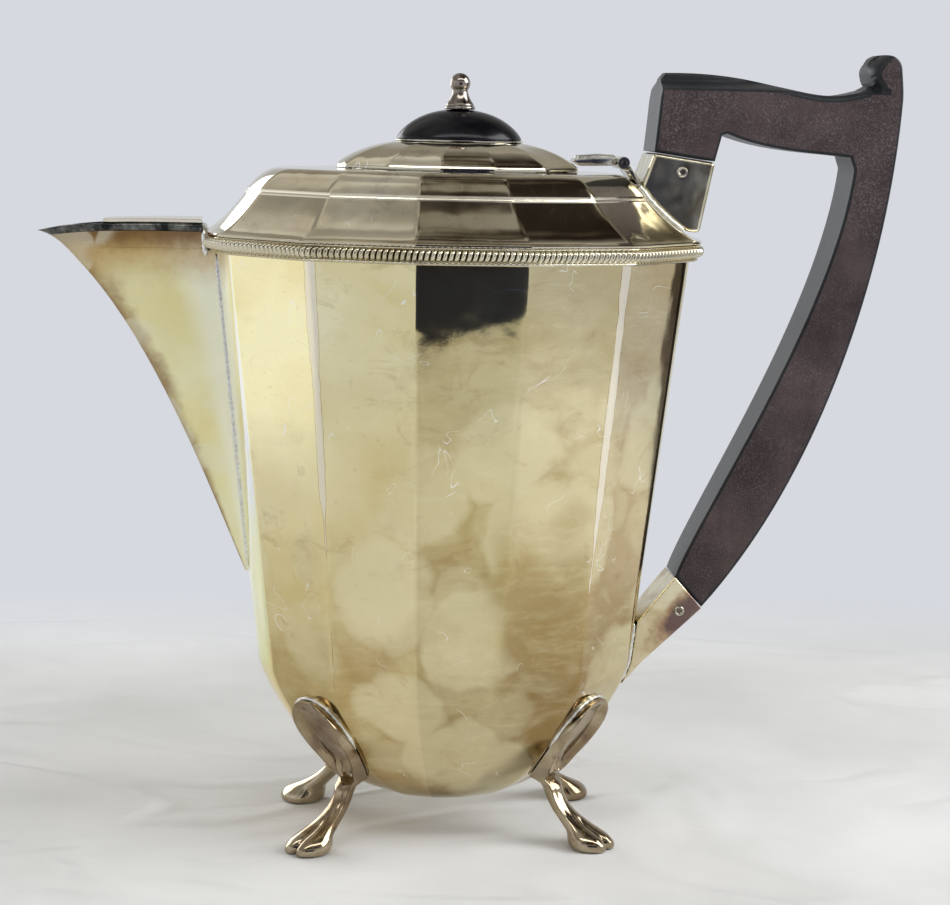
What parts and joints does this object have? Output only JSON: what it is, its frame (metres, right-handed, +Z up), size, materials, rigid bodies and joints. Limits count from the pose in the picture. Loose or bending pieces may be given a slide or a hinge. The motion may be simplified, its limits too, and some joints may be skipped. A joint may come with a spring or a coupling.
{
  "type": "coffee pot",
  "caption": "Oval panelled silver-plated coffee pot with a V-shaped spout, domed hinged lid, black finial disc, dark wooden handle and hoof feet.",
  "frame": {"origin": "on the table plane under the middle of the whole pot's bounding box", "axes": "+X from the spout to the handle, +Z up, +Y away from the side that the picture shows"},
  "size_m": [0.2424, 0.1058, 0.2258],
  "materials": {
    "silver_plate": "polished, tarnished",
    "polished_fittings": "polished",
    "cast_feet": "polished, tarnished",
    "dark_wood": "satin",
    "black_disc": "gloss lacquer"
  },
  "bodies": {
    "pot": {"body": "silver_plate", "shoulder": "silver_plate", "gadroon_border": "silver_plate", "spout": "silver_plate", "spout_cover": "silver_plate", "hinge_body_leaf": "polished_fittings", "hinge_pin": "polished_fittings", "upper_socket": "polished_fittings", "lower_socket": "polished_fittings", "upper_handle_pin": "polished_fittings", "lower_handle_pin": "polished_fittings", "foot_front_left": "cast_feet", "foot_front_right": "cast_feet", "foot_rear_left": "cast_feet", "foot_rear_right": "cast_feet", "handle_grip": "dark_wood"},
    "lid_assembly": {"lid": "silver_plate", "lid_bezel": "silver_plate", "hinge_lid_leaf": "polished_fittings", "finial_plate": "polished_fittings", "finial_disc": "black_disc", "finial_knob": "polished_fittings", "finial_stud": "polished_fittings", "finial_nut": "polished_fittings"}
  },
  "joints": [
    {"name": "lid_hinge", "type": "hinge", "parent": "pot", "child": "lid_assembly", "pos_m": [0.0419, 0, 0.194], "axis": [0, 1, 0], "range_deg": [0, 95]}
  ]
}
